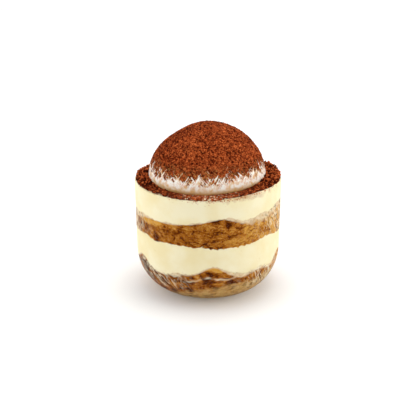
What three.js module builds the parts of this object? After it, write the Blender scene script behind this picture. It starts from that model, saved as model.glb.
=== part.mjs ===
// A single-serve tiramisu in its clear glass cup, in millimetres, +Z up.
// The cup is filled to the rim with four layers: soaked sponge, mascarpone cream, soaked sponge
// and mascarpone cream. A half-ball of whipped cream sits in the middle of the top.
// The origin is the centre of the cup's foot, on the table. The front of the dessert faces -Y.
import * as THREE from "three";

// ---- Driving dimensions ----------------------------------------------------------------------
const cup = {
  radius: 35, // outside of the straight wall
  height: 54, // table to rim
  footRadius: 18, // flat disc that the cup stands on
  shoulder: 20.5, // height where the round bottom runs into the straight wall
  wall: 1.2, // glass thickness of the straight wall
  floor: 2.6, // glass thickness over the foot
  wellRadius: 15, // flat part of the inside
};
const dome = {
  radius: 28.3, // of the half-ball
  top: 80.8, // table to the crown
  offset: [-0.4, -0.9], // of its axis from the cup's, in X and Y
  lipHeight: 3, // height of the rounded lower edge
  lipTuck: 0.8, // how far that edge turns in under the dome
};
const seat = 0.3; // gap between neighbouring solids

// Mean heights of the seams between the layers, measured at the middle of each seam.
const seamHeight = { baseTop: 18.4, middleBottom: 31.5, middleTop: 42.5, creamTop: 54 };

// How each seam swells and dips round the wall. A swell is one slow wave, [waves, height, turn in
// degrees]. A lump is a local rise or dip, [angle in degrees, half width in degrees, height].
// Angle 0 is the front, -Y, and angles grow towards +X.
const seamShape = {
  baseTop: {
    swells: [[3, 0.5, 200], [5, 0.35, 40]],
    lumps: [
      [-84, 14, -2.4], [-60, 9, 2.4], [-40, 13, -2.2], [4, 10, 3.9], [31, 8, -1], [57, 8, -1.8],
      [73, 9, 2.8], [118, 14, 1.8], [160, 10, -1.4], [205, 12, 2.2], [245, 10, -1.2],
    ],
  },
  middleBottom: {
    swells: [[2, 0.25, 60], [5, 0.2, 120]],
    lumps: [
      [-60, 12, 1.2], [-38, 8, -0.5], [10, 20, -0.5], [49, 12, 1.2], [150, 16, -0.8],
      [222, 14, 0.9],
    ],
  },
  middleTop: {
    swells: [[1, 1.6, -90]],
    lumps: [
      [-28, 14, -0.6], [10, 13, 2.1], [27, 9, -0.6], [76, 20, 2], [140, 14, -1.2],
      [185, 13, 1.5], [235, 12, -0.9],
    ],
  },
  creamTop: {
    swells: [[1, 0.25, -90], [2, 0.7, 180]],
    lumps: [[40, 26, 0.9], [165, 30, 0.5]],
  },
};

// ---- Resolution ------------------------------------------------------------------------------
const turns = 60; // facets round the axis
const capRings = 4; // rings from the axis to the edge on a layer's top or bottom
const cornerSteps = 8; // facets up the cup's round bottom
const domeSteps = 14; // facets up the half-ball

// ---- Helpers ---------------------------------------------------------------------------------

// Signed distance in degrees from one angle to another, the short way round.
function apart(a, b) {
  return THREE.MathUtils.euclideanModulo(a - b + 180, 360) - 180;
}

// Height of a seam at an angle round the wall.
function seamAtWall(name, angle) {
  const { swells, lumps } = seamShape[name];
  let z = seamHeight[name];
  for (const [waves, height, turn] of swells)
    z += height * Math.cos(THREE.MathUtils.degToRad(waves * angle + turn));
  for (const [at, half, height] of lumps)
    z += height * Math.exp(-((apart(angle, at) / half) ** 2));
  return z;
}

// Height of a seam inside the food. share runs from 0 on the axis to 1 at the wall, and the seam
// levels out towards the axis.
function seam(name, angle, share) {
  return seamHeight[name] + (seamAtWall(name, angle) - seamHeight[name]) * share ** 2;
}

// Radius of a round-bottomed vessel at a height: an elliptical corner from the flat disc at the
// bottom up to the straight wall.
function vesselRadius(z, flat, full, bottom, shoulder) {
  const drop = THREE.MathUtils.clamp((shoulder - z) / (shoulder - bottom), 0, 1);
  return flat + (full - flat) * Math.sqrt(1 - drop ** 2);
}

// Radius of the food where it meets the inside of the cup.
function foodRadius(z) {
  return vesselRadius(
    z, cup.wellRadius, cup.radius - cup.wall - seat, cup.floor + seat, cup.shoulder + seat,
  );
}

// Half the gap between two layers along Z, which grows where the seam is steep so that the gap
// stays the same square to the seam.
function halfGap(name, angle, share) {
  const step = 1; // degree
  const rise = seamAtWall(name, angle + step) - seamAtWall(name, angle - step);
  const run = 2 * THREE.MathUtils.degToRad(step) * foodRadius(seamHeight[name]);
  return (seat / 2) * Math.hypot(1, (share * rise) / run);
}

// The face of the layer below a seam, and of the layer above it.
const under = (name) => (angle, share) => seam(name, angle, share) - halfGap(name, angle, share);
const over = (name) => (angle, share) => seam(name, angle, share) + halfGap(name, angle, share);

// A closed solid swept round the axis. profileAt gives, for an angle in degrees, a list of
// [radius, height] points that runs from the axis below, round the outside, to the axis above.
function swept(profileAt) {
  const rows = [];
  for (let i = 0; i < turns; i++) rows.push(profileAt((360 * i) / turns));
  const last = rows[0].length - 1;
  const positions = [0, 0, rows[0][0][1], 0, 0, rows[0][last][1]];
  rows.forEach((row, i) => {
    const angle = (2 * Math.PI * i) / turns;
    for (const [r, z] of row.slice(1, last))
      positions.push(r * Math.sin(angle), -r * Math.cos(angle), z);
  });
  const at = (i, k) => 2 + (i % turns) * (last - 1) + k - 1;
  const index = [];
  for (let i = 0; i < turns; i++) {
    index.push(0, at(i + 1, 1), at(i, 1));
    for (let k = 1; k < last - 1; k++) {
      const [a, b, c, d] = [at(i, k), at(i + 1, k), at(i, k + 1), at(i + 1, k + 1)];
      const inward = rows[i][k + 1][0] < rows[i][k][0];
      // The same diagonal is used on both sides of a seam, so that the two faces run parallel.
      if (inward) index.push(a, b, d, a, d, c);
      else index.push(a, b, c, b, d, c);
    }
    index.push(at(i, last - 1), at(i + 1, last - 1), 1);
  }
  const geometry = new THREE.BufferGeometry();
  geometry.setAttribute("position", new THREE.Float32BufferAttribute(positions, 3));
  geometry.setIndex(index);
  geometry.computeVertexNormals();
  return geometry;
}

// An elliptical arc of [radius, height] points from the flat disc up to the straight wall.
function corner(flat, full, bottom, shoulder) {
  const points = [];
  for (let k = 0; k <= cornerSteps; k++) {
    const t = (Math.PI / 2) * (k / cornerSteps);
    points.push([
      flat + (full - flat) * Math.sin(t),
      bottom + (shoulder - bottom) * (1 - Math.cos(t)),
    ]);
  }
  return points;
}

// ---- Cup -------------------------------------------------------------------------------------

// A turned shell: outside from the foot to the rim, a rounded rim, and the inside back down.
function cupGeometry() {
  const lip = cup.wall / 2;
  const outside = corner(cup.footRadius, cup.radius, 0, cup.shoulder);
  const inside = corner(cup.wellRadius, cup.radius - cup.wall, cup.floor, cup.shoulder);
  const rim = [0, 1, 2, 3, 4].map((k) => {
    const t = (Math.PI * k) / 4;
    return [cup.radius - lip + lip * Math.cos(t), cup.height - lip + lip * Math.sin(t)];
  });
  const profile = [[0, 0], ...outside, ...rim, ...inside.reverse(), [0, cup.floor]];
  return swept(() => profile);
}

// ---- Food ------------------------------------------------------------------------------------

// One layer between two seams. Its side follows the inside of the cup.
function layerGeometry(lower, upper, sideRows) {
  return swept((angle) => {
    const low = lower(angle, 1);
    const high = upper(angle, 1);
    const profile = [[0, lower(angle, 0)]];
    for (let k = 1; k < capRings; k++) {
      const share = k / capRings;
      profile.push([foodRadius(low) * share, lower(angle, share)]);
    }
    for (let k = 0; k <= sideRows; k++) {
      const z = low + ((high - low) * k) / sideRows;
      profile.push([foodRadius(z), z]);
    }
    for (let k = capRings - 1; k > 0; k--) {
      const share = k / capRings;
      profile.push([foodRadius(high) * share, upper(angle, share)]);
    }
    profile.push([0, upper(angle, 0)]);
    return profile;
  });
}

// The bottom layer stands on the cup's floor and fills its round bottom.
function baseGeometry() {
  const floor = cup.floor + seat;
  const upper = under("baseTop");
  return swept((angle) => {
    const high = upper(angle, 1);
    const profile = [[0, floor]];
    for (let k = 0; k <= cornerSteps; k++) {
      const rise = 1 - Math.cos((Math.PI / 2) * (k / cornerSteps));
      const z = floor + (high - floor) * rise;
      profile.push([foodRadius(z), z]);
    }
    for (let k = capRings - 1; k > 0; k--) {
      const share = k / capRings;
      profile.push([foodRadius(high) * share, upper(angle, share)]);
    }
    profile.push([0, upper(angle, 0)]);
    return profile;
  });
}

// The half-ball of whipped cream. Its underside lies on the cream below it, and its lower edge is
// turned in.
function domeGeometry() {
  const geometry = swept((angle) => {
    const edge = dome.radius - dome.lipTuck;
    const rest = (r) => over("creamTop")(angle, r / foodRadius(cup.height));
    const low = rest(edge);
    const profile = [[0, rest(0)]];
    for (let k = 1; k < capRings; k++) {
      const r = (edge * k) / capRings;
      profile.push([r, rest(r)]);
    }
    for (let k = 0; k < domeSteps; k++) {
      const t = (Math.PI / 2) * (k / domeSteps);
      const rise = (dome.top - low) * Math.sin(t);
      const tuck = dome.lipTuck * Math.max(0, 1 - rise / dome.lipHeight) ** 2;
      profile.push([dome.radius * Math.cos(t) - tuck, low + rise]);
    }
    profile.push([0, dome.top]);
    return profile;
  });
  return geometry.translate(...dome.offset, 0);
}

// ---- Materials and assembly ------------------------------------------------------------------
function finish(colour, roughness, extra = {}) {
  return new THREE.MeshStandardMaterial({ color: colour, roughness, metalness: 0, ...extra });
}
const glass = finish(0xf2f5f4, 0.05, { transparent: true, opacity: 0.3 });
const soakedSponge = finish(0x9a6228, 0.6);
const mascarpone = finish(0xf3e4bd, 0.55);
const cocoaDusted = finish(0x8a3b1c, 0.9);

const tiramisu = new THREE.Group();
function add(name, geometry, material) {
  const mesh = new THREE.Mesh(geometry, material);
  mesh.name = name;
  tiramisu.add(mesh);
}

add("glass_cup", cupGeometry(), glass);
add("base_sponge", baseGeometry(), soakedSponge);
add("lower_cream", layerGeometry(over("baseTop"), under("middleBottom"), 5), mascarpone);
add("middle_sponge", layerGeometry(over("middleBottom"), under("middleTop"), 2), soakedSponge);
add("upper_cream", layerGeometry(over("middleTop"), under("creamTop"), 2), mascarpone);
add("cream_dome", domeGeometry(), cocoaDusted);

export default tiramisu;
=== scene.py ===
"""A single-serve tiramisu in a clear glass cup: the finish of every surface round its CAD frame.

The shapes are worked out in millimetres and become metres when they go into a mesh. Angles are
measured round the vertical axis from the front, -Y, towards +X.
"""
import functools
import itertools
import math

import bpy
import numpy as np
from bpy.props import FloatProperty, FloatVectorProperty, IntProperty, PointerProperty
from bpy.types import Operator, Panel, PropertyGroup
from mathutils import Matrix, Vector


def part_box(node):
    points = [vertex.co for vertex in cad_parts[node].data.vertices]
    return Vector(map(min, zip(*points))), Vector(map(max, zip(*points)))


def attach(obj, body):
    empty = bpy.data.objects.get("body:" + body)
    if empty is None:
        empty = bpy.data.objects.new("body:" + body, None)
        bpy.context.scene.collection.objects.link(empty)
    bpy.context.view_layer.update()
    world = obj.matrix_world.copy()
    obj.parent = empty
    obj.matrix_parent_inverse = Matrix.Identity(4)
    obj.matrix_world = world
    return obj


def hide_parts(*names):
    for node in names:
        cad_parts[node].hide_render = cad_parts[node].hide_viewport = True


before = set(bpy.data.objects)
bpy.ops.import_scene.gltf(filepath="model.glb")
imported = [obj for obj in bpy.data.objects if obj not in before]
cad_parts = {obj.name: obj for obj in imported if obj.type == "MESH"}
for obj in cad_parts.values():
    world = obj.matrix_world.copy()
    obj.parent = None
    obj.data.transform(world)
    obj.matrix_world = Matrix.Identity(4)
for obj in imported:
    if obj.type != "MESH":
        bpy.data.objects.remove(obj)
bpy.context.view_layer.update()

bl_info = {
    "name": "Tiramisu in a Glass Cup",
    "version": (1, 0, 0),
    "blender": (4, 5, 0),
    "location": "View3D > Sidebar > Dessert",
    "description": "Builds a layered tiramisu in a clear cup, dusted with cocoa",
    "category": "Add Mesh",
}

MM = 1000.0  # millimetres in a metre
CAD_FACETS = 60  # facets round each CAD layer
COLUMNS = 720  # points round each layer
ROUND = 2 * math.pi
DOME_GIRTH = 28.0  # mm up the dome's side for each radian


# ---- Colour ------------------------------------------------------------------------------------

def linear(code):
    """An sRGB hex colour as linear values: each channel over 255, through the sRGB curve."""
    channels = [int(code[i:i + 2], 16) / 255 for i in (1, 3, 5)]
    return tuple(c / 12.92 if c <= 0.04045 else ((c + 0.055) / 1.055) ** 2.4 for c in channels)


# ---- Settings ----------------------------------------------------------------------------------

def length(name, description, default):
    """A length in metres that the sidebar shows with its unit."""
    return FloatProperty(
        name=name, description=description, default=default, subtype="DISTANCE", unit="LENGTH",
        precision=5, min=0,
    )


def colour(name, description, code):
    """A colour that the sidebar shows as a swatch."""
    return FloatVectorProperty(
        name=name, description=description, default=linear(code), subtype="COLOR", size=3,
        min=0, max=1,
    )


class CupSettings(PropertyGroup):
    """Sizes of the glass cup. Its width and height come from the frame."""

    foot_radius: length("Foot", "Radius of the flat underside", 0.018)
    well_radius: length("Well", "Radius of the flat part of the inside", 0.015)
    shoulder: length("Shoulder", "Height where the round bottom meets the straight wall", 0.0205)
    wall: length("Wall", "Thickness of the straight wall", 0.0012)
    floor: length("Floor", "Thickness of the glass over the foot", 0.0026)
    dull_share: FloatProperty(
        name="Dull share", description="Share of the glass that reflects nothing", default=0.7,
        min=0, max=1,
    )


class FoodSettings(PropertyGroup):
    """Sizes and colours of the sponge and cream."""

    cream_press: length("Cream press", "How far cream reaches into the wall", 0.0009)
    sponge_press: length("Sponge press", "How far sponge reaches into the wall", 0.0006)
    crumb_relief: length("Crumb relief", "Depth of the sponge's crumb", 0.0006)
    pore: length("Pore", "Spacing of the sponge's pores", 0.0019)
    lap: length("Lap", "How far cream runs over the edge of the sponge", 0.0007)
    crumbs: IntProperty(name="Crumbs", description="Loose crumbs at the seams", default=900)
    sponge_dark: colour("Sponge, soaked", "Wettest crumb", "#4e1e02")
    sponge_mid: colour("Sponge", "Most of the crumb", "#914c0a")
    sponge_light: colour("Sponge, light", "Lighter crumb", "#b16b22")
    sponge_dry: colour("Sponge, dry", "Driest crumb", "#d99e46")
    # Cream colour, and also a painted reflection: the pale veil at the far ends of the middle
    # sponge.
    smear: colour("Smear", "Cream that has mixed with coffee", "#ead0ab")
    smudge: colour("Smudge", "Cocoa or coffee on the cream", "#bd8450")
    # Painted highlight: the whitish glints on folds against the glass.
    film: colour("Film", "Folds of cream against the glass", "#fbeccb")
    milky: colour("Milky foot", "Coffee and cream that has run to the bottom", "#cba263")
    cream_pale: colour("Cream, pale", "Lightest cream", "#fbeecb")
    cream_deep: colour("Cream, deep", "Yellowest cream", "#f6e4b4")
    whipped: colour("Whipped cream", "The cream of the dome", "#fffaf0")
    tinted: colour("Tinted cream", "Whipped cream with a trace of cocoa", "#e6bd8c")
    # Painted shade: the ochre line at the dome's foot, where its edge tucks in above the cocoa.
    stain: colour("Stain", "Cream that coffee has stained", "#e2b468")
    veil: colour("Veil", "Cream under a trace of cocoa powder", "#cf9455")


class CocoaSettings(PropertyGroup):
    """Sizes and colours of the cocoa powder."""

    border: length("Border", "Height of bare cream round the foot of the dome", 0.0072)
    clump: length("Clump", "Spacing of the clumps round the dome", 0.0014)
    bed: length("Bed", "Depth of the cocoa round the dome, at the front", 0.0001)
    bank: length("Bank", "Depth of the cocoa at the sides and the back", 0.0010)
    heap: length("Heap", "Extra depth of the cocoa on the right", 0.0010)
    dome_grains: IntProperty(name="Grains on dome", description="Loose grains", default=5200)
    bed_grains: IntProperty(name="Grains on bed", description="Loose grains", default=2100)
    specks: IntProperty(name="Specks", description="Grains on the cream's side", default=420)
    # Painted shade: near-black laid into the gaps between clumps and into the pits.
    pit: colour("Cocoa, pits", "Powder in the gaps and pits", "#210601")
    # The dark and light powder fall in the lows and on the crests of the noise that is also the
    # height: partly the powder's own colour, partly painted shade and painted highlight.
    dark: colour("Cocoa, dark", "Darkest powder on the surface", "#3a0f04")
    mid: colour("Cocoa", "Most of the powder", "#963a15")
    light: colour("Cocoa, light", "Powder on the crests", "#d8703a")


class StageSettings(PropertyGroup):
    """The camera, lights and floor."""

    distance: length("Camera distance", "From the camera to where it aims", 0.300)
    aim: length("Aim", "Height that the camera aims at", 0.03793)
    elevation: FloatProperty(
        name="Elevation", description="Camera above level", default=math.radians(19.2),
        subtype="ANGLE", unit="ROTATION",
    )
    lens: FloatProperty(name="Lens", description="Focal length, mm", default=53.2, unit="CAMERA")
    surround: FloatProperty(name="Walls", description="Light of the white walls", default=1.25)
    shade: FloatProperty(name="Front", description="Light of the dim front wall", default=0.3)
    right_light: FloatProperty(name="Right", description="Right softbox", default=1.2, unit="POWER")
    left_light: FloatProperty(name="Left", description="Left softbox", default=0.7, unit="POWER")
    top_light: FloatProperty(name="Top", description="Top softbox", default=0.9, unit="POWER")


# ---- Noise -------------------------------------------------------------------------------------

def lattice(cells, seed):
    """A repeatable value from 0 to 1 for each whole-numbered point: its three numbers and the
    seed are multiplied by odd constants, joined by exclusive or and mixed twice."""
    x, y, z = (cells[..., i].astype(np.uint32) for i in range(3))
    start = np.uint32(seed * 2654435769 % 2**32)
    h = x * np.uint32(2376512323) ^ y * np.uint32(3625334849) ^ z * np.uint32(3407524639) ^ start
    h = (h ^ h >> np.uint32(15)) * np.uint32(739982445)
    h = (h ^ h >> np.uint32(12)) * np.uint32(695872825)
    return (h ^ h >> np.uint32(15)) / 4294967295.0


def noise(points, size, seed, octaves=1):
    """Smooth noise from about -1 to 1. Each octave blends the lattice values at the eight corners
    round a point by the smooth step, at half the size and half the weight of the one before."""
    total = 0.0
    for octave in range(octaves):
        p = np.asarray(points) / size * 2**octave + 17.3 * octave
        cell = np.floor(p)
        f = p - cell
        f = f * f * (3 - 2 * f)
        cell = cell.astype(np.int64)
        value = 0.0
        for corner in itertools.product((0, 1), repeat=3):
            share = np.prod(np.where(np.array(corner) == 1, f, 1 - f), axis=-1)
            value = value + share * lattice(cell + np.array(corner), seed + octave)
        total = total + (2 * value - 1) * 0.5**octave
    return total


def nearest(points, size, seed):
    """Distance from each point to the nearest of the scattered points that a lattice holds, one
    in each cell, in units of the cell's size."""
    p = np.asarray(points) / size
    cell = np.floor(p).astype(np.int64)
    best = np.full(p.shape[:-1], 9.0)
    for step in itertools.product((-1, 0, 1), repeat=3):
        near = cell + np.array(step)
        at = near + np.stack([lattice(near, seed + k) for k in range(3)], axis=-1)
        best = np.minimum(best, np.linalg.norm(p - at, axis=-1))
    return best


def smooth_step(value, low, high):
    """0 below low, 1 above high, and 3t^2 - 2t^3 between them."""
    t = np.clip((value - low) / (high - low), 0, 1)
    return t * t * (3 - 2 * t)


def bells(theta, *each):
    """Sum of bell curves round the axis. Each is its angle and half width in degrees and its
    height h, and adds h exp(-(distance / half width)^2)."""
    total = np.zeros(np.shape(theta))
    for angle, half, height in each:
        apart = (np.degrees(theta) - angle + 180) % 360 - 180
        total = total + height * np.exp(-np.square(apart / half))
    return total


# ---- Meshes ------------------------------------------------------------------------------------

def around(theta, radius, height):
    """Points at an angle from the front: x is the radius times the sine, y minus the radius times
    the cosine."""
    theta, radius, height = np.broadcast_arrays(theta, radius, height)
    return np.stack([radius * np.sin(theta), -radius * np.cos(theta), height], axis=-1)


def angles(columns):
    """Evenly spaced angles once round, starting at the back."""
    return np.arange(columns) / columns * ROUND - math.pi


def put(name, data):
    """A new object in the scene for a mesh, a light or a camera."""
    made = bpy.data.objects.new(name, data)
    bpy.context.scene.collection.objects.link(made)
    return made


def put_mesh(name, points, *faces):
    """An object made from points in millimetres and arrays of faces, shaded smooth."""
    mesh = bpy.data.meshes.new(name)
    corners = np.concatenate([f.ravel() for f in faces]).astype(np.int32)
    sizes = np.concatenate([np.full(len(f), f.shape[1]) for f in faces])
    mesh.vertices.add(len(points))
    mesh.vertices.foreach_set("co", (np.asarray(points) / MM).astype(np.float32).ravel())
    mesh.loops.add(len(corners))
    mesh.loops.foreach_set("vertex_index", corners)
    mesh.polygons.add(len(sizes))
    mesh.polygons.foreach_set("loop_start", np.concatenate([[0], np.cumsum(sizes)[:-1]]))
    mesh.update(calc_edges=True)
    mesh.validate()
    mesh.shade_smooth()
    return put(name, mesh)


def band_faces(rows, columns, wrap=False):
    """Quads between neighbouring rows of a grid that closes round the axis. With wrap, the last
    row joins the first."""
    here = np.arange(columns)
    after = (here + 1) % columns
    low = np.arange(rows if wrap else rows - 1)[:, None] * columns
    high = (low + columns) % (rows * columns)
    return np.stack([low + here, low + after, high + after, high + here], axis=-1).reshape(-1, 4)


def put_solid(name, grid, low_pole, high_pole):
    """A closed body from a grid of rows and columns that runs from the axis below, round the
    outside, to the axis above. Fans close it at the two poles, which are heights on the axis."""
    rows, columns = grid.shape[:2]
    last = rows * columns
    poles = [[0, 0, low_pole], [0, 0, high_pole]]
    points = np.concatenate([grid.reshape(-1, 3), poles])
    here = np.arange(columns)
    after = (here + 1) % columns
    low_fan = np.stack([after, here, np.full(columns, last)], axis=-1)
    top = last - columns
    high_fan = np.stack([top + here, top + after, np.full(columns, last + 1)], axis=-1)
    return put_mesh(name, points, band_faces(rows, columns), low_fan, high_fan)


def put_ring(name, grid):
    """A closed ring from a grid whose rows go once round its section: below, outside, above and
    back on the inside."""
    rows, columns = grid.shape[:2]
    return put_mesh(name, grid.reshape(-1, 3), band_faces(rows, columns, wrap=True))


def mark(piece, name, values):
    """Keeps a number or a vector for each vertex as a named attribute."""
    values = np.asarray(values, np.float32)
    kind, field = ("FLOAT", "value") if values.ndim == 1 else ("FLOAT_VECTOR", "vector")
    layer = piece.data.attributes.new(name, kind, "POINT")
    layer.data.foreach_set(field, values.ravel())


def polar(piece):
    """Angle, radius and height in millimetres of each vertex of a piece."""
    co = np.empty(len(piece.data.vertices) * 3, np.float32)
    piece.data.vertices.foreach_get("co", co)
    x, y, z = (co.reshape(-1, 3) * MM).T
    return np.arctan2(x, -y), np.hypot(x, y), z


def mark_by_place(piece, **marks):
    """Marks a piece with the values that functions give for each point's angle and height."""
    theta, _, z = polar(piece)
    for name, value in marks.items():
        mark(piece, name, value(theta, z))


def finish(piece, material, slot, *nodes):
    """Gives a piece its material and says which body and CAD nodes it belongs to. The slot is not
    used.
    """
    piece.data.materials.append(material)
    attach(piece, "root")
    if nodes:
        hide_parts(*nodes)
    return piece


# ---- Sizes taken from the frame ----------------------------------------------------------------

def edge_heights(node, pick):
    """Highest or lowest height of a CAD layer's edge at each of its facets, in millimetres. pick
    is np.maximum or np.minimum."""
    theta, radius, z = polar(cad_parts[node])
    edge = radius > 0.9 * radius.max()
    spoke = np.rint(theta / ROUND * CAD_FACETS).astype(int) % CAD_FACETS
    heights = np.full(CAD_FACETS, -np.inf if pick is np.maximum else np.inf)
    pick.at(heights, spoke[edge], z[edge])
    return heights


def curve_through(values, theta):
    """A smooth closed curve through values at evenly spaced angles, as the sum of its waves."""
    waves = np.fft.rfft(values) / len(values)
    turns = np.arange(1, len(waves) - 1)
    swell = np.real(np.exp(1j * np.outer(theta, turns)) @ waves[1:-1])
    return waves[0].real + 2 * swell.reshape(np.shape(theta))


def top_edge(node, theta):
    """Height of a CAD layer's upper edge at each angle."""
    return curve_through(edge_heights(node, np.maximum), theta)


@functools.cache
def seam(lower, upper):
    """Height of the seam between two CAD layers at each angle: halfway between the edges that
    face each other, roughened by noise of 3 mm and 1.1 mm."""
    theta = angles(COLUMNS)
    middle = (edge_heights(lower, np.maximum) + edge_heights(upper, np.minimum)) / 2
    at = around(theta, cup_radius(), middle.mean())
    rough = 0.55 * noise(at, 3.0, 11) + 0.45 * noise(at, 1.1, 12, 2)
    return curve_through(middle, theta) + rough


def cup_radius():
    """Outer radius of the cup in millimetres."""
    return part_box("glass_cup")[1].x * MM


def cup_height():
    """Height of the cup's rim in millimetres."""
    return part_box("glass_cup")[1].z * MM


def settings():
    """The groups of settings: cup, food, cocoa and stage."""
    return bpy.context.scene.tiramisu


def vessel(z, flat, full, bottom, shoulder):
    """Radius at a height of a vessel whose elliptical corner runs from a flat disc at the bottom
    up to its straight wall."""
    drop = np.clip((shoulder - z) / (shoulder - bottom), 0, 1)
    return flat + (full - flat) * np.sqrt(1 - drop**2)


def inner_radius(z, press):
    """Radius of the food's side at a height, pressed into the wall by that much."""
    cup = settings().cup
    full = cup_radius() - cup.wall * MM + press
    bottom = cup.floor * MM - min(press, 0.2)
    return vessel(z, cup.well_radius * MM + press, full, bottom, cup.shoulder * MM)


# ---- Shaders -----------------------------------------------------------------------------------

def new_material(name):
    """An empty material with its output node."""
    material = bpy.data.materials.new(name)
    material.use_nodes = True
    tree = material.node_tree
    tree.nodes.clear()
    return material, tree, tree.nodes.new("ShaderNodeOutputMaterial")


def add(tree, kind, sockets=None, out=0, stops=(), **options):
    """Adds one shader node, sets its options, links or sets its input sockets, fills its colour
    ramp from (position, linear colour) stops in order, and gives the output that out names."""
    made = tree.nodes.new("ShaderNode" + kind)
    for name, value in options.items():
        setattr(made, name, value)
    for key, value in (sockets or {}).items():
        if isinstance(value, bpy.types.NodeSocket):
            tree.links.new(value, made.inputs[key])
        else:
            made.inputs[key].default_value = value
    for index, (position, value) in enumerate(stops):
        elements = made.color_ramp.elements
        element = elements[index] if index < len(elements) else elements.new(position)
        element.position = position
        element.color = rgba(value)
    return made.outputs[out]


def rgba(colour_value):
    """A linear colour with an alpha of 1."""
    return (*colour_value[:3], 1.0)


def millimetres(tree):
    """Object coordinates in millimetres."""
    place = add(tree, "TexCoord", out="Object")
    return add(tree, "VectorMath", {0: place, "Scale": MM}, operation="SCALE")


def glass_material():
    """Clear pressed glass: nearly colourless, with faint reflections at its edges. Its dull share
    bends light but reflects none. Light from lamps and from the food passes straight through."""
    material, tree, output = new_material("clear_pressed_glass")
    tint = rgba(linear("#fbfdfc"))
    glass = add(tree, "BsdfPrincipled", {
        "Base Color": tint, "Roughness": 0.015, "IOR": 1.45, "Transmission Weight": 1.0,
        "Specular Tint": (0.2, 0.2, 0.2, 1),
    })
    bent = add(tree, "BsdfRefraction", {"Color": tint, "Roughness": 0.0, "IOR": 1.45})
    clear = add(tree, "BsdfTransparent", {"Color": tint})
    shadow = add(tree, "LightPath", out="Is Shadow Ray")
    diffuse = add(tree, "LightPath", out="Is Diffuse Ray")
    either = add(tree, "Math", {0: shadow, 1: diffuse}, operation="MAXIMUM")
    wall = add(tree, "MixShader", {0: settings().cup.dull_share, 1: glass, 2: bent})
    surface = add(tree, "MixShader", {0: either, 1: wall, 2: clear})
    tree.links.new(surface, output.inputs["Surface"])
    return material


def cream_material():
    """Mascarpone cream: pale yellow, smooth and a little fatty, with a soft broad sheen. Coffee
    or cocoa tints it where the piece's smudge attribute is high."""
    food = settings().food
    material, tree, output = new_material("mascarpone_cream")
    at = millimetres(tree)
    drift = add(tree, "TexNoise", {"Vector": at, "Scale": 1 / 12, "Detail": 4.0})
    shade = add(tree, "ValToRGB", {"Fac": drift}, stops=(
        (0.38, food.cream_deep), (0.62, food.cream_pale),
    ))
    smudge = add(tree, "Attribute", out="Fac", attribute_name="smudge")
    smudge = mottled(tree, at, 2.0, smudge, 1.4, 0.4, 1.1)
    smudge = add(tree, "Math", {0: smudge, 1: 0.6}, operation="MULTIPLY")
    fine = add(tree, "TexNoise", {"Vector": at, "Scale": 1 / 1.6, "Detail": 4.0})
    bump = add(tree, "Bump", {"Height": fine, "Strength": 0.35, "Distance": 0.2 / MM})
    surface = add(tree, "BsdfPrincipled", {
        "Base Color": tinted(tree, shade, (smudge, food.smudge)), "Roughness": 0.5,
        "Normal": bump, "Specular IOR Level": 0.2,
    })
    tree.links.new(surface, output.inputs["Surface"])
    return material


def mottled(tree, at, size, share, amount, low, high):
    """Turns a share from 0 to 1 into ragged patches: the share plus a noise of that size, through
    a step between low and high."""
    patch = add(tree, "TexNoise", {"Vector": at, "Scale": 1 / size, "Detail": 4.0})
    ragged = add(tree, "Math", {0: patch, 1: amount, 2: share}, operation="MULTIPLY_ADD")
    return add(tree, "MapRange", {
        "Value": ragged, "From Min": low + amount / 2, "From Max": high + amount / 2,
    })


def tinted(tree, shade, *layers):
    """Lays linear colours over a shade in order. Each layer is its share and its colour."""
    for share, tint in layers:
        sockets = {0: share, 6: shade, 7: rgba(tint)}
        shade = add(tree, "Mix", sockets, out=2, data_type="RGBA")
    return shade


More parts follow.
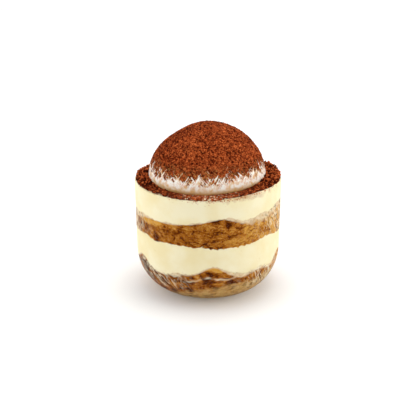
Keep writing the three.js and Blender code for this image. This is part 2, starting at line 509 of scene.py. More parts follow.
def sponge_material(name, roughness, grain=1.0):
    """Coffee-soaked sponge finger: an open golden-brown crumb in strokes of 2.5 mm times the grain,
    darker where it is wetter or where painted shade is marked, with pores of about 1.5 mm. Cream
    has mixed with it in places, and at the far ends of the middle sponge the same pale colour is a
    painted reflection. Thin whitish lines on folds against the glass are painted highlights, and
    the dark cracks beside them painted shade."""
    food = settings().food
    material, tree, output = new_material(name)
    at = millimetres(tree)
    dry, milky, smear, filmy, fold = (
        add(tree, "Attribute", out="Fac", attribute_name=each)
        for each in ("dry", "milky", "smear", "film", "fold")
    )
    strokes = add(tree, "Mapping", {
        "Vector": at, "Rotation": (0.4, 0, 0), "Scale": (2.5 * grain, 2.5 * grain, 1.2 * grain),
    }, vector_type="TEXTURE")
    crumb = add(tree, "TexNoise", {
        "Vector": strokes, "Scale": 1.0, "Detail": 5.0, "Roughness": 0.68, "Distortion": 0.9,
    })
    wetter = add(tree, "TexNoise", {"Vector": at, "Scale": 1 / 5, "Detail": 2.0})
    spread = add(tree, "Math", {0: wetter, 1: 0.5, 2: crumb}, operation="MULTIPLY_ADD")
    tone = add(tree, "Math", {0: spread, 1: dry})
    shade = add(tree, "ValToRGB", {"Fac": tone}, stops=(
        (0.64, food.sponge_dark), (0.72, food.sponge_mid), (0.82, food.sponge_light),
        (0.96, food.sponge_dry),
    ))
    milky = mottled(tree, at, 2.4, milky, 5.0, 4.2, 6.4)
    patchy = add(tree, "MapRange", {
        "Value": crumb, "From Min": 0.36, "From Max": 0.58, "To Min": 0.3, "To Max": 1.0,
    })
    milky = add(tree, "Math", {0: milky, 1: patchy}, operation="MULTIPLY")
    # Cream smear, and at the middle sponge's far ends a pale veil that is a painted reflection.
    smear = mottled(tree, at, 2.2, smear, 1.2, 0.3, 1.0)
    # Painted highlights: whitish glint lines where folds of film against the glass catch the light.
    lean = add(tree, "Attribute", out="Vector", attribute_name="lean")
    stretched = add(tree, "Mapping", {"Vector": lean, "Scale": (1 / 2.4, 1 / 2.4, 1 / 6)})
    folds = add(tree, "TexNoise", {
        "Vector": stretched, "Scale": 1.0, "Detail": 2.0, "Distortion": 0.6,
    })
    off = add(tree, "Math", {0: folds, 1: 0.5}, operation="SUBTRACT")
    thin = add(tree, "Math", {0: off}, operation="ABSOLUTE")
    lines = add(tree, "MapRange", {
        "Value": thin, "From Min": 0.008, "From Max": 0.042, "To Min": 1.0, "To Max": 0.0,
    })
    glints = add(tree, "Math", {0: lines, 1: filmy}, operation="MULTIPLY")
    film = add(tree, "Math", {0: glints, 1: fold}, operation="MAXIMUM")
    # Painted shade: a dark line in the wettest crumb colour beside each glint, the shaded side of
    # the fold.
    beside = add(tree, "Math", {0: folds, 1: 0.565, 2: 0.024}, operation="COMPARE")
    cracks = add(tree, "Math", {0: beside, 1: filmy}, operation="MULTIPLY")
    shade = tinted(
        tree, shade, (milky, food.milky), (smear, food.smear), (cracks, food.sponge_dark),
        (film, food.film),
    )
    pores = add(tree, "TexVoronoi", {"Vector": at, "Scale": 1 / 1.5})
    deep = add(tree, "Math", {0: pores, 1: 0.5, 2: crumb}, operation="MULTIPLY_ADD")
    bump = add(tree, "Bump", {"Height": deep, "Strength": 0.9, "Distance": 0.6 / MM})
    surface = add(tree, "BsdfPrincipled", {
        "Base Color": shade, "Roughness": roughness, "Normal": bump, "Specular IOR Level": 0.02,
    })
    tree.links.new(surface, output.inputs["Surface"])
    return material


def cocoa_colour(tree, at, shift=0.0):
    """Colour and height of cocoa powder: a noise of 1 mm goes from a dark to a rusty brown, and
    a positive shift darkens it all. The same noise is the height, so the dark brown in its lows is
    partly painted shade and the rusty brown on its crests partly painted highlight. The piece's
    tone attribute lightens it, and on the dome it darkens both sides, the left most, as painted
    shade. Its deep attribute blackens the gaps and pits as painted shade."""
    cocoa = settings().cocoa
    grain = add(tree, "TexNoise", {
        "Vector": at, "Scale": 1.0, "Detail": 4.0, "Roughness": 0.75, "Distortion": 1.2,
    })
    tone, deep = (
        add(tree, "Attribute", out="Fac", attribute_name=each) for each in ("tone", "deep")
    )
    tone = add(tree, "Math", {0: grain, 1: tone})
    # Dark in the lows and light on the crests of the height: partly painted shade and painted
    # highlight.
    shade = add(tree, "ValToRGB", {"Fac": tone}, stops=(
        (0.41 + shift, cocoa.dark), (0.5 + shift, cocoa.mid), (0.6 + shift, cocoa.light),
    ))
    # Painted shade: the deep mark blackens the gaps and pits.
    pit = add(tree, "Math", {0: deep, 1: 0.85}, operation="MULTIPLY")
    return tinted(tree, shade, (pit, cocoa.pit)), grain


def cocoa_material(name, shift=0.0):
    """Dutch-process cocoa powder: dull, granular and deep reddish brown, with no shine at all.
    Where the piece's thin attribute is 1, flecks of the cream below show through."""
    material, tree, output = new_material(name)
    at = millimetres(tree)
    powder, height = cocoa_colour(tree, at, shift)
    thin = add(tree, "Attribute", out="Fac", attribute_name="thin")
    bare = mottled(tree, at, 0.9, thin, 4.0, 1.2, 1.5)
    bump = add(tree, "Bump", {"Height": height, "Strength": 1.0, "Distance": 0.6 / MM})
    surface = add(tree, "BsdfPrincipled", {
        "Base Color": tinted(tree, powder, (bare, settings().food.smear)), "Roughness": 0.95,
        "Normal": bump, "Specular IOR Level": 0.03,
    })
    tree.links.new(surface, output.inputs["Surface"])
    return material


def streak_noise(tree, lean):
    """Noise drawn out into strokes 0.9 mm across and 4 mm long, which lean one way up the dome."""
    lean = add(tree, "Attribute", out="Vector", attribute_name=lean)
    place = add(tree, "Mapping", {"Vector": lean, "Scale": (1 / 0.9, 1 / 0.9, 1 / 4)})
    return add(tree, "TexNoise", {
        "Vector": place, "Scale": 1.0, "Detail": 2.0, "Roughness": 0.55, "Distortion": 0.9,
    })


def strokes_between(tree, field, climb, width, start, end):
    """Thin strokes where a noise is 0.5, give or take the width. They grow from nothing at the
    height start up the dome to full strength at the height end."""
    line = add(tree, "Math", {0: field, 1: 0.5, 2: width}, operation="COMPARE")
    zone = add(tree, "MapRange", {"Value": climb, "From Min": start, "From Max": end})
    return add(tree, "Math", {0: line, 1: zone}, operation="MULTIPLY")


def dusted_material():
    """Whipped cream under sifted cocoa. The powder covers the dome and breaks up into crossing
    streaks down the slope, above a nearly bare band of cream that is faintly tinted with cocoa.
    Thin strokes of powder cross the band, and thin scratches of cream cross the powder above it.
    The cream is painted ochre at its foot: painted shade where its edge tucks in above the cocoa."""
    food, cocoa = settings().food, settings().cocoa
    material, tree, output = new_material("cocoa_dusted_whipped_cream")
    at = millimetres(tree)
    powder, height = cocoa_colour(tree, at)
    reach, tongue = 26.0, 13.0  # mm of climb that the streaks and the broad tongues sway the edge
    one_way, other_way = streak_noise(tree, "lean"), streak_noise(tree, "counter_lean")
    streaks = add(tree, "Math", {0: one_way, 1: other_way}, operation="MINIMUM")
    tongues = add(tree, "TexNoise", {"Vector": at, "Scale": 1 / 4.5, "Detail": 3.0})
    lean = add(tree, "Attribute", out="Vector", attribute_name="lean")
    climb = add(tree, "SeparateXYZ", {0: lean}, out="Z")
    bareness = add(tree, "MapRange", {
        "Value": climb, "From Min": 0.0, "From Max": 6.0, "To Min": -6.0, "To Max": 0.0,
    })
    lowered = add(tree, "Math", {0: climb, 1: bareness})
    ragged = add(tree, "Math", {0: streaks, 1: reach, 2: lowered}, operation="MULTIPLY_ADD")
    level = add(tree, "Math", {0: tongues, 1: tongue, 2: ragged}, operation="MULTIPLY_ADD")
    edge = cocoa.border * MM + reach * 0.45 + tongue * 0.5
    veil = add(tree, "MapRange", {"Value": level, "From Min": edge - 1.3, "From Max": edge - 0.2})
    cover = add(tree, "MapRange", {"Value": level, "From Min": edge - 0.5, "From Max": edge + 0.8})
    tint = add(tree, "TexNoise", {"Vector": at, "Scale": 1 / 2.2, "Detail": 5.0})
    cream = add(tree, "ValToRGB", {"Fac": tint}, stops=((0.35, food.tinted), (0.56, food.whipped)))
    # Painted shade: ochre up the first 3 mm of the dome's foot, where it tucks in above the cocoa.
    stain = add(tree, "MapRange", {
        "Value": climb, "From Min": 1.0, "From Max": 3.2, "To Min": 0.9, "To Max": 0.0,
    })
    hatch = strokes_between(tree, other_way, climb, 0.013, 2.4, 5.0)
    bare = tinted(tree, cream, (stain, food.stain), (veil, food.veil), (hatch, cocoa.light))
    scratch = strokes_between(tree, one_way, climb, 0.02, 14.0, 9.0)
    cover = add(tree, "Math", {0: cover, 1: scratch}, operation="SUBTRACT", use_clamp=True)
    lift = add(tree, "Math", {0: cover, 1: height}, operation="MULTIPLY")
    bump = add(tree, "Bump", {"Height": lift, "Strength": 1.0, "Distance": 0.6 / MM})
    surface = add(tree, "BsdfPrincipled", {
        "Base Color": add(tree, "Mix", {0: cover, 6: bare, 7: powder}, out=2, data_type="RGBA"),
        "Roughness": add(tree, "Mix", {0: cover, 2: 0.5, 3: 0.95}), "Normal": bump,
        "Specular IOR Level": 0.03,
    })
    tree.links.new(surface, output.inputs["Surface"])
    return material


# ---- Cup ---------------------------------------------------------------------------------------

def corner(flat, full, bottom, shoulder):
    """28 points of the elliptical corner from the flat disc to the straight wall: the radius goes
    with the sine and the height with one minus the cosine."""
    t = np.linspace(0, math.pi / 2, 28)
    r = flat + (full - flat) * np.sin(t)
    z = bottom + (shoulder - bottom) * (1 - np.cos(t))
    return np.stack([r, z], axis=-1)


class DESSERT_OT_cup(Operator):
    """Turns the clear glass cup with its round bottom and rounded rim"""

    bl_idname = "dessert.cup"
    bl_label = "Glass Cup"

    def execute(self, context):
        cup = settings().cup
        radius, height = cup_radius(), cup_height()
        wall, floor, shoulder = cup.wall * MM, cup.floor * MM, cup.shoulder * MM
        lip = wall / 2
        outside = corner(cup.foot_radius * MM, radius, 0, shoulder)
        inside = corner(cup.well_radius * MM, radius - wall, floor, shoulder)
        t = np.linspace(0, math.pi, 11)
        rim = np.stack([radius - lip + lip * np.cos(t), height - lip + lip * np.sin(t)], axis=-1)
        outline = np.concatenate([[[0.5, 0.0]], outside, rim, inside[::-1], [[0.5, floor]]])
        grid = around(angles(256), outline[:, :1], outline[:, 1:])
        piece = put_solid("cup_glass", grid, 0, floor)
        finish(piece, glass_material(), "glass_clear", "glass_cup")
        return {"FINISHED"}


# ---- Layers ------------------------------------------------------------------------------------

def capped(side, low_edge, high_edge):
    """A layer's rows: its side, with the bottom and the top levelled out towards the axis, where
    the height is the edge's mean plus its swell times the share of the radius squared."""
    shares = np.array([0.35, 0.65, 0.9])[:, None]
    theta = angles(side.shape[1])
    rims = []
    for edge, row in ((low_edge, side[0]), (high_edge, side[-1])):
        radius = np.hypot(row[:, 0], row[:, 1])
        height = edge.mean() + (edge - edge.mean()) * shares**2
        rims.append(around(theta, radius * shares, height))
    return np.concatenate([rims[0], side, rims[1][::-1]])


def cream_layer(name, low, high, rows, open_top=False):
    """Cream between two seams. It fills the wall and runs a little over the sponge at each seam,
    where its radius falls by the lap over the same height. An open top is rounded instead."""
    food = settings().food
    lap = food.lap * MM
    theta = angles(COLUMNS)
    start = low - 0.6 * lap
    end = high if open_top else high + 0.6 * lap
    v = np.linspace(0, 1, rows)[:, None]
    z = start + (end - start) * v
    over = np.clip(np.maximum(low + 0.4 * lap - z, 0 if open_top else z - high + 0.4 * lap), 0, lap)
    rounding = np.clip(z - high + 0.8, 0, 0.8) if open_top else 0
    flat = around(theta, cup_radius(), z)
    bubbles = 0.25 * (1 - smooth_step(nearest(flat, 5.5, 31), 0.02, 0.1))
    ripple = 0.05 * noise(flat, 4.0, 32)
    radius = inner_radius(z, food.cream_press * MM) - over - bubbles + ripple
    # Known fault: in an open top's last row the root's number comes out just below 0, so that row
    # and the rings inside it have no radius, and end up on the axis when the mesh is validated.
    radius = radius - (0.8 - np.sqrt(0.64 - np.square(rounding))) * 0.9
    return put_solid(name, capped(around(theta, radius, z), start, end), start.mean(), end.mean())


def sponge_side(theta, z, pore, seed):
    """Radius of a sponge's side: pressed just into the wall, with a crumb of three octaves, and
    pores where a scattered point is near."""
    food = settings().food
    relief = food.crumb_relief * MM
    at = around(theta, cup_radius(), z)
    crumb = relief * (0.5 + 0.6 * noise(at, pore, seed, 3))
    holes = 0.7 * relief * (1 - smooth_step(nearest(at, pore, seed + 9), 0.12, 0.4))
    return inner_radius(z, food.sponge_press * MM) + np.clip(crumb - holes, -0.3, 0.4)


def leaning(theta, z, radius, slope):
    """Coordinates on a round wall in which upright strokes lean: the angle is turned by the slope
    times the height over the radius."""
    turned = theta + slope * z / radius
    return np.stack([radius * np.sin(turned), radius * np.cos(turned), z], axis=-1)


def put_sponge(name, z, pore, seed):
    """A sponge from the heights of its side's rows."""
    theta = np.broadcast_to(angles(z.shape[1]), z.shape)
    side = around(theta, sponge_side(theta, z, pore, seed), z)
    piece = put_solid(name, capped(side, z[0], z[-1]), z[0].mean(), z[-1].mean())
    mark_by_place(piece, lean=lambda turn, rise: leaning(turn, rise, cup_radius(), 0.5))
    return piece


class DESSERT_OT_sponges(Operator):
    """Makes the two layers of coffee-soaked sponge"""

    bl_idname = "dessert.sponges"
    bl_label = "Soaked Sponge"

    def execute(self, context):
        pore = settings().food.pore * MM
        low = seam("lower_cream", "middle_sponge")
        high = seam("middle_sponge", "upper_cream")
        z = low + (high - low) * np.linspace(-0.02, 1.02, 44)[:, None]
        piece = put_sponge("sponge_middle", z, pore, 41)
        mark_by_place(
            piece, dry=self.middle_dry, smear=self.middle_smear, film=self.middle_film,
        )
        material = sponge_material("coffee_soaked_sponge", 0.5)
        finish(piece, material, "sponge_soaked", "middle_sponge")

        high = seam("base_sponge", "lower_cream")
        floor = settings().cup.floor * MM - 0.1
        rise = 1 - np.cos(np.linspace(0.03, 1, 72) * math.pi / 2)[:, None]
        z = floor + (high + 0.2 - floor) * rise
        piece = put_sponge("sponge_base", z, pore * 1.2, 57)
        mark_by_place(
            piece, dry=self.base_dry, milky=self.base_milky, fold=self.base_fold,
            film=self.base_film, smear=self.base_smear,
        )
        material = sponge_material("drenched_sponge", 0.32, 1.6)
        finish(piece, material, "sponge_soaked", "base_sponge")
        return {"FINISHED"}

    def middle_dry(self, theta, z):
        """Dryness and painted shade of the middle sponge: drier at both ends and towards the right,
        with one golden patch at the top on the left, and one pit at the top in the middle painted
        darker as painted shade."""
        side = bells(theta, (66, 36, 0.21), (-80, 16, 0.09), (180, 60, 0.06))
        patch = bells(theta, (-50, 10, 0.5)) * smooth_step(z, 37.5, 40)
        # Painted shade: a darker spot in the pit at the top in the middle.
        pit = bells(theta, (6, 3, -0.2)) * smooth_step(z, 42, 44)
        return side + patch + pit

    def middle_smear(self, theta, z):
        """Cream worked into the top of the middle sponge, most of all on the right. At the far ends
        a pale veil over the whole height is a painted reflection of the glass.
        """
        top = top_edge("middle_sponge", theta)
        reach = 0.3 + bells(theta, (48, 24, 6.5), (-72, 14, 4.0), (165, 40, 2.0))
        return 1 - smooth_step(top - z, 0, reach) + bells(theta, (-78, 9, 0.3), (82, 9, 0.3))

    def middle_film(self, theta, z):
        """Painted highlights at both ends of the middle sponge: whitish glints on folds against the
        glass.
        """
        return bells(theta, (72, 22, 1.0), (-72, 17, 1.0), (150, 60, 0.3))

    def base_dry(self, theta, z):
        """Dryness and painted shade of the base sponge: a wet core, a golden bump in the middle,
        and a dark line along its foot that is painted shade where the sponge meets the glass.
        """
        core = -0.04 * np.exp(-np.square((z - 13.2) / 3.0))
        bump = bells(theta, (6, 5, 0.36)) * smooth_step(z, 18.5, 20.5)
        right = bells(theta, (62, 24, 0.12)) * smooth_step(z, 11, 14)
        left = bells(theta, (-48, 20, -0.05))
        # The last term darkens a line along the very bottom: painted shade where the sponge meets
        # the glass.
        return core + bump + right + left - 0.3 * np.exp(-np.square((z - 3.2) / 0.7))

    def base_milky(self, theta, z):
        """Millimetres below a line 5 mm above the top of the milky foot."""
        top = 9.2 + bells(theta, (20, 24, 3.0), (60, 22, 5.0), (-48, 32, -4.0), (180, 60, 2.0))
        return np.maximum(top + 5 - z, 0)

    def base_fold(self, theta, z):
        """One wavy fold of film that runs round the base sponge, 0.4 mm wide, painted pale as the
        highlight along it.
        """
        at = around(theta, cup_radius(), 0.0)
        waves = 0.6 * np.sin(11 * theta + 0.6) + 0.9 * noise(at, 3.2, 61, 2)
        line = 15.9 + waves + bells(theta, (-15, 8, -1.2), (42, 20, 1.6), (-50, 16, 0.6))
        strength = 0.1 + bells(theta, (10, 50, 0.42), (50, 14, 0.5), (-40, 16, 0.3))
        strength = strength * (1 + 0.9 * noise(at, 2.2, 62))
        return strength * np.exp(-np.square((z - line) / 0.45))

    def base_film(self, theta, z):
        """Painted highlights on shorter folds of film on the left and right of the base sponge."""
        low = smooth_step(z, 7, 10)
        return low * bells(theta, (-46, 22, 1.0), (54, 20, 0.8), (170, 60, 0.4))

    def base_smear(self, theta, z):
        """Cream worked into the top of the base sponge, between its bumps."""
        top = top_edge("base_sponge", theta)
        reach = 0.3 + bells(theta, (-22, 14, 2.0), (28, 15, 2.6), (52, 10, 2.4), (180, 80, 1.5))
        return 1 - smooth_step(top - z, 0, reach)


class DESSERT_OT_creams(Operator):
    """Makes the two layers of mascarpone cream"""

    bl_idname = "dessert.creams"
    bl_label = "Mascarpone Cream"

    def execute(self, context):
        material = cream_material()
        low = seam("base_sponge", "lower_cream")
        high = seam("lower_cream", "middle_sponge")
        piece = cream_layer("cream_lower", low, high, 48)
        mark_by_place(piece, smudge=self.lower_smudge)
        finish(piece, material, "cream_mascarpone", "lower_cream")
        low = seam("middle_sponge", "upper_cream")
        high = top_edge("upper_cream", angles(COLUMNS))
        piece = cream_layer("cream_upper", low, high, 44, open_top=True)
        mark_by_place(piece, smudge=self.upper_smudge)
        finish(piece, material, "cream_mascarpone", "upper_cream")
        return {"FINISHED"}

    def upper_smudge(self, theta, z):
        """Cocoa smeared down from the rim, most of all at the front on the right."""
        return smooth_step(z, 49.5, 53.6) * (0.25 + bells(theta, (24, 26, 0.7)))

    def lower_smudge(self, theta, z):
        """Coffee that has soaked a little into the cream above the base sponge."""
        return 0.35 * smooth_step(-z, -21.5, -17.5)


# ---- Dome --------------------------------------------------------------------------------------

def dome_place(theta, t):
    """Points and outward normals of the dome. t is the angle up its side: the radius goes with
    the cosine and the height above its foot with the sine. The foot's edge is turned in, and the
    upper left side is a little flat."""
    low_corner, high_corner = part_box("cream_dome")
    centre = (low_corner + high_corner) / 2 * MM
    radius, top = (high_corner.x - low_corner.x) / 2 * MM - 0.2, high_corner.z * MM - 0.3
    foot = curve_through(edge_heights("cream_dome", np.minimum), theta) - 0.6
    rise = (top - foot) * np.sin(t)
    tuck = 0.7 * np.maximum(0, 1 - rise / 2.4) ** 2
    normals = around(theta, np.cos(t), np.sin(t))
    flat = bells(theta, (-90, 62, 1.2)) * np.exp(-np.square((np.degrees(t) - 58) / 22))
    points = around(theta, radius * np.cos(t) - tuck, foot + rise) - normals * flat[..., None]
    return points + np.array([centre.x, centre.y, 0]), normals


def dusting(theta, t, points):
    """Share of the dome that cocoa covers at each point, from its height up the side."""
    border = settings().cocoa.border * MM
    climb = t * DOME_GIRTH + 2.2 * noise(points, 3.0, 71, 2)
    return smooth_step(climb, border - 2.0, border + 3.0)


class DESSERT_OT_dome(Operator):
    """Makes the half-ball of whipped cream with its dusting of cocoa"""

    bl_idname = "dessert.dome"
    bl_label = "Cream Dome"

    def execute(self, context):
        columns, rows = 560, 150
        theta = angles(columns)
        t = np.linspace(0, 1, rows)[:-1, None] * math.pi / 2
        theta, t = np.broadcast_arrays(theta, t)
        points, normals = dome_place(theta, t)
        cover = dusting(theta, t, points)
        powder = 0.2 * noise(points, 1.3, 72, 2) + 0.14 * noise(points, 2.6, 73)
        pits = 1 - smooth_step(nearest(points, 2.3, 74), 0.06, 0.3)
        soft = 0.14 * noise(points, 6.0, 75) + 0.06 * noise(points, 2.2, 76)
        points = points + normals * (soft + cover * (powder - 0.45 * pits))[..., None]
        under = points[0] * np.array([0.9, 0.9, 1.0]) * np.ones((2, 1, 1))
        under[0, :, :2] *= 0.5
        # The bells darken the powder down the dome's left side, and a little its right: painted
        # shade.
        tone = 0.025 * noise(points, 8.0, 77, 2) + bells(theta, (-75, 40, -0.03), (80, 30, -0.01))
        grid = np.concatenate([under, points])
        low, top = under[0, :, 2].mean(), points[-1, :, 2].mean()
        piece = put_solid("dome_cream", grid, low, top)
        blank, poles = np.zeros(2 * columns), [0, 0]
        # The deep mark paints shade into the pits where the powder lies.
        for name, values in (("deep", pits * cover), ("tone", tone)):
            mark(piece, name, np.concatenate([blank, values.ravel(), poles]))
        theta = np.concatenate([theta[0], theta[0], theta.ravel(), poles])
        climb = np.concatenate([blank, t.ravel(), [0, math.pi / 2]]) * DOME_GIRTH
        for name, slope in (("lean", 0.8), ("counter_lean", -0.6)):
            mark(piece, name, leaning(theta, climb, DOME_GIRTH, slope))
        finish(piece, dusted_material(), "cocoa_dusted_cream", "cream_dome")
        return {"FINISHED"}


# ---- Cocoa -------------------------------------------------------------------------------------

def bed_height(theta, radius):
    """Heights of the cream round the dome and of the cocoa on it, and how deep in a gap between
    clumps each point is. The cream levels out towards the axis. The cocoa is thin at the front,
    deeper elsewhere and heaped on the right, and its clumps are the nearer parts of cells of the
    clump's size."""
    cocoa = settings().cocoa
    edge = top_edge("upper_cream", theta)
    share = radius / cup_radius()
    cream = edge.mean() + (edge - edge.mean()) * share**2
    at = around(theta, radius, 0.0)
    clump = cocoa.clump * MM
    behind = smooth_step(np.abs(np.degrees(theta)), 35, 75)
    depth = (cocoa.bed + (cocoa.bank - cocoa.bed) * behind) * MM
    depth = depth + bells(theta, (102, 40, cocoa.heap * MM)) + 0.3 * noise(at, 5.0, 85)
    gap = nearest(at, clump, 81)
    heaps = 1.2 * (0.6 - gap) + 0.5 * noise(at, 2.0 * clump, 82, 2)
    top = cream + np.maximum(depth, 0.05) + (0.15 + 1.0 * behind) * heaps
    return cream, top, smooth_step(gap, 0.34, 0.62)


class DESSERT_OT_cocoa_bed(Operator):
    """Lays the bed of cocoa round the dome, out to the rim of the cup"""

    bl_idname = "dessert.cocoa_bed"
    bl_label = "Cocoa Bed"

    def execute(self, context):
        columns, rows = 900, 34
        theta = angles(columns)[None, :]
        rim = around(theta[0], cup_radius(), 0.0)
        ragged = 0.3 * noise(rim, 1.3, 83, 2) + bells(theta[0], (0, 45, 0.5)) * noise(rim, 2.4, 86)
        outer = cup_radius() - 0.5 + ragged
        inner = 24.0
        share = np.linspace(1, 0, rows)[:, None]
        radius = inner + (outer - inner) * share
        theta = np.broadcast_to(theta, radius.shape)
        cream, top, gap = bed_height(theta, radius)
        droop = 0.9 * smooth_step(radius, outer - 0.9, outer) ** 2
        upper = around(theta, radius, np.maximum(top - droop, cream + 0.1))
        skirt = around(theta[:1], outer - 0.1, cream[:1] - 0.15 + 0.3 * noise(rim, 1.2, 84, 2))
        lower = around(theta[-1:], inner, cream[-1:] - 0.6)
        shelf = around(theta[:1], outer - 1.2, cream[:1] - 0.6)
        grid = np.concatenate([lower, shelf, skirt, upper])
        piece = put_ring("cocoa_bed", grid)
        # The deep mark paints shade into the gaps between clumps, less at the front.
        gap = gap * (1 - 0.6 * self.front(theta, top))
        mark(piece, "deep", np.concatenate([np.zeros(3 * columns), gap.ravel()]))
        mark_by_place(piece, thin=self.front, tone=lambda *place: 0.08 * self.front(*place))
        # Painted shade: a darker copy of the powder, so the bed reads dark between the clumps.
        finish(piece, cocoa_material("cocoa_powder_packed", 0.08), "cocoa_dusted_cream")
        return {"FINISHED"}

    def front(self, theta, z):
        """Nearness to the front, where the cocoa is thin and the cream shows through it."""
        return bells(theta, (0, 44, 1.0))


def grain_shape():
    """The 12 corners and 20 faces of an icosahedron of radius 1, from the golden ratio."""
    g = (1 + math.sqrt(5)) / 2
    pairs = [(a, b * g) for a in (-1, 1) for b in (-1, 1)]
    corners = [(0, a, b) for a, b in pairs] + [(a, b, 0) for a, b in pairs]
    corners = np.array(corners + [(b, 0, a) for a, b in pairs]) / math.hypot(1, g)
    gap = np.linalg.norm(corners[:, None] - corners[None], axis=-1)
    near = (gap > 0.1) & (gap < 1.2)
    faces = []
    for i, j, k in itertools.combinations(range(12), 3):
        if near[i, j] and near[j, k] and near[i, k]:
            out = np.dot(np.cross(corners[j] - corners[i], corners[k] - corners[i]), corners[i])
            faces.append((i, j, k) if out > 0 else (i, k, j))
    return corners, np.array(faces)


def put_grains(name, centres, sizes, rng, spread=0.13):
    """Many small lumps as one mesh: each is the same 20-sided shape, stretched along its own axes
    and turned by a random rotation, with a random tone between plus and minus the spread."""
    corners, faces = grain_shape()
    count = len(centres)
    stretch = sizes[:, None, None] * rng.uniform(0.65, 1.25, (count, 1, 3))
    jitter = 1 + rng.uniform(-0.22, 0.22, (count, 12, 1))
    turn, _ = np.linalg.qr(rng.normal(size=(count, 3, 3)))
    turn = turn * np.sign(np.linalg.det(turn))[:, None, None]
    lumps = (corners[None] * jitter * stretch) @ turn + centres[:, None]
    index = faces[None] + 12 * np.arange(count)[:, None, None]
    piece = put_mesh(name, lumps.reshape(-1, 3), index.reshape(-1, 3))
    mark(piece, "tone", np.repeat(rng.uniform(-spread, spread, count), 12))
    return piece


class DESSERT_OT_grains(Operator):
    """Scatters loose grains of cocoa over the dome, the bed and the cream just below the rim"""

    bl_idname = "dessert.grains"
    bl_label = "Cocoa Grains"

    def execute(self, context):
        cocoa = settings().cocoa
        rng = np.random.default_rng(5)
        theta = rng.uniform(-math.pi, math.pi, cocoa.dome_grains)
        t = np.arcsin(rng.uniform(0, 1, cocoa.dome_grains))
        points, normals = dome_place(theta, t)
        keep = dusting(theta, t, points) > rng.uniform(0.3, 1, cocoa.dome_grains)
        sizes = rng.uniform(0.16, 0.36, keep.sum())
        points = points[keep] + 0.02 * normals[keep]
        piece = put_grains("cocoa_grains_dome", points, sizes, rng)
        material = cocoa_material("cocoa_powder")
        finish(piece, material, "cocoa_dusted_cream")

        theta = rng.uniform(-math.pi, math.pi, cocoa.bed_grains)
        outer = cup_radius() - 0.6
        radius = outer - 7.0 * rng.uniform(0, 1, cocoa.bed_grains)
        _, top, _ = bed_height(theta, radius)
        behind = smooth_step(np.abs(np.degrees(theta)), 30, 70)
        top = top - 0.5 * smooth_step(radius, outer - 0.9, outer) - 0.1 + 0.3 * behind
        sizes = rng.uniform(0.16, 0.34, cocoa.bed_grains) * (1 + 0.7 * behind)
        piece = put_grains("cocoa_grains_bed", around(theta, radius, top), sizes, rng, 0.22)
        # Painted light: a slightly lighter copy of the powder for the clumps' lit crests.
        finish(piece, cocoa_material("cocoa_powder_clumped", -0.03), "cocoa_dusted_cream")

        theta = rng.normal(math.radians(24), math.radians(22), cocoa.specks)
        theta[::3] = rng.uniform(-math.pi, math.pi, len(theta[::3]))
        drop = rng.exponential(0.9, cocoa.specks)
        edge = top_edge("upper_cream", theta)
        sizes = rng.uniform(0.12, 0.3, cocoa.specks) * np.exp(-drop / 4)
        points = around(theta, cup_radius() - 0.42, edge - 0.4 - drop)
        piece = put_grains("cocoa_specks", points, sizes, rng)
        # Painted light: a lighter copy of the powder, against the shade the specks fall in behind
        # the glass.
        finish(piece, cocoa_material("cocoa_powder_damp", -0.09), "cocoa_dusted_cream")
        return {"FINISHED"}


class DESSERT_OT_crumbs(Operator):
    """Scatters crumbs of sponge along the seams, against the glass"""

    bl_idname = "dessert.crumbs"
    bl_label = "Sponge Crumbs"

    def execute(self, context):
        rng = np.random.default_rng(8)
        points = []
        for pair in (
            ("base_sponge", "lower_cream"), ("lower_cream", "middle_sponge"),
            ("middle_sponge", "upper_cream"),
        ):
            spot = rng.integers(0, COLUMNS, settings().food.crumbs // 3)
            z = seam(*pair)[spot] + rng.normal(0, 0.4, len(spot))
            points.append(around(angles(COLUMNS)[spot], inner_radius(z, 0.55), z))
        points = np.concatenate(points)
        sizes = rng.uniform(0.14, 0.42, len(points))
        piece = put_grains("sponge_crumbs", points, sizes, rng)
        mark(piece, "dry", np.full(len(piece.data.vertices), 0.2))
        finish(piece, sponge_material("loose_sponge_crumb", 0.5), "sponge_soaked")
        return {"FINISHED"}


# ---- Stage -------------------------------------------------------------------------------------

def softbox(name, power, size, place, aim):
    """A square area light at a place, turned to face a point."""
    data = bpy.data.lights.new(name, "AREA")
    data.energy = power
    data.size = size
    light = put(name, data)
    light.location = place
    light.rotation_euler = (aim - Vector(place)).to_track_quat("-Z", "Y").to_euler()


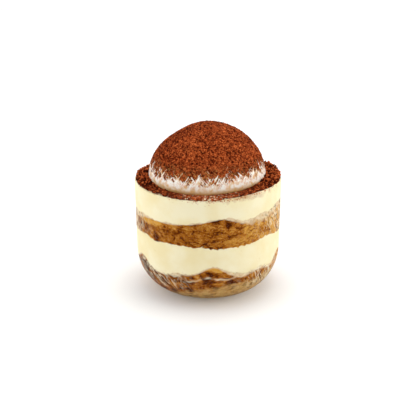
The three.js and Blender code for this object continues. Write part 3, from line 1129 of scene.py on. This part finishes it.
class DESSERT_OT_stage(Operator):
    """Sets the pale floor, the soft lights and the camera"""

    bl_idname = "dessert.stage"
    bl_label = "Stage"

    def execute(self, context):
        stage = settings().stage
        scene = context.scene
        scene.view_settings.view_transform = "Standard"
        world = bpy.data.worlds.new("white_studio")
        world.use_nodes = True
        tree = world.node_tree
        background = tree.nodes["Background"]
        background.inputs["Color"].default_value = (1, 1, 1, 1)
        facing = add(tree, "TexCoord", out="Generated")
        depth = add(tree, "SeparateXYZ", {0: facing}, out="Y")
        walls = add(tree, "MapRange", {
            "Value": depth, "From Min": -0.9, "From Max": -0.1, "To Min": stage.shade,
            "To Max": stage.surround,
        })
        seen = add(tree, "LightPath", out="Is Camera Ray")
        strength = add(tree, "Mix", {0: seen, 2: walls, 3: stage.surround})
        tree.links.new(strength, background.inputs["Strength"])
        scene.world = world

        half = 6000.0
        square = [(-half, -half, 0), (half, -half, 0), (half, half, 0), (-half, half, 0)]
        floor = put_mesh("floor", square, np.array([[0, 1, 2, 3]]))
        material, tree, output = new_material("matt_white_board")
        sockets = {"Base Color": rgba(linear("#fafaf9")), "Roughness": 0.8}
        surface = add(tree, "BsdfPrincipled", sockets)
        tree.links.new(surface, output.inputs["Surface"])
        floor.data.materials.append(material)

        aim = Vector((0, 0, stage.aim))
        softbox("softbox_right", stage.right_light, 0.5, (0.62, -0.1, 0.4), aim)
        softbox("softbox_left", stage.left_light, 0.5, (-0.62, -0.1, 0.34), aim)
        softbox("softbox_top", stage.top_light, 0.4, (0.05, 0.1, 0.75), aim)

        data = bpy.data.cameras.new("camera")
        data.lens = stage.lens
        data.sensor_width = 36
        data.clip_start = 0.01
        data.clip_end = 100
        camera = put("camera", data)
        back = Vector((0, -math.cos(stage.elevation), math.sin(stage.elevation)))
        camera.location = aim + back * stage.distance
        camera.rotation_euler = (-back).to_track_quat("-Z", "Y").to_euler()
        scene.camera = camera
        return {"FINISHED"}


# ---- Add-on ------------------------------------------------------------------------------------

class TiramisuSettings(PropertyGroup):
    """All settings of the dessert"""

    cup: PointerProperty(type=CupSettings)
    food: PointerProperty(type=FoodSettings)
    cocoa: PointerProperty(type=CocoaSettings)
    stage: PointerProperty(type=StageSettings)


OPERATORS = (
    DESSERT_OT_cup,
    DESSERT_OT_sponges,
    DESSERT_OT_creams,
    DESSERT_OT_dome,
    DESSERT_OT_cocoa_bed,
    DESSERT_OT_grains,
    DESSERT_OT_crumbs,
    DESSERT_OT_stage,
)


class DESSERT_PT_tiramisu(Panel):
    """Lists the steps and the settings of the dessert"""

    bl_idname = "DESSERT_PT_tiramisu"
    bl_label = "Tiramisu"
    bl_space_type = "VIEW_3D"
    bl_region_type = "UI"
    bl_category = "Dessert"

    def draw(self, context):
        layout = self.layout
        for operator in OPERATORS:
            layout.operator(operator.bl_idname)
        groups = context.scene.tiramisu
        for group in (groups.cup, groups.food, groups.cocoa, groups.stage):
            box = layout.box()
            for name in group.__annotations__:
                box.prop(group, name)


CLASSES = (
    CupSettings, FoodSettings, CocoaSettings, StageSettings, TiramisuSettings, *OPERATORS,
    DESSERT_PT_tiramisu,
)


def register():
    """Registers the classes and puts the settings on the scene."""
    for each in CLASSES:
        bpy.utils.register_class(each)
    bpy.types.Scene.tiramisu = PointerProperty(type=TiramisuSettings)


def unregister():
    """Takes the settings and the classes away again."""
    del bpy.types.Scene.tiramisu
    for each in reversed(CLASSES):
        bpy.utils.unregister_class(each)


def main():
    """Makes the dessert and its stage."""
    register()
    for operator in OPERATORS:
        group, step = operator.bl_idname.split(".")
        getattr(getattr(bpy.ops, group), step)()


if __name__ == "__main__":
    main()
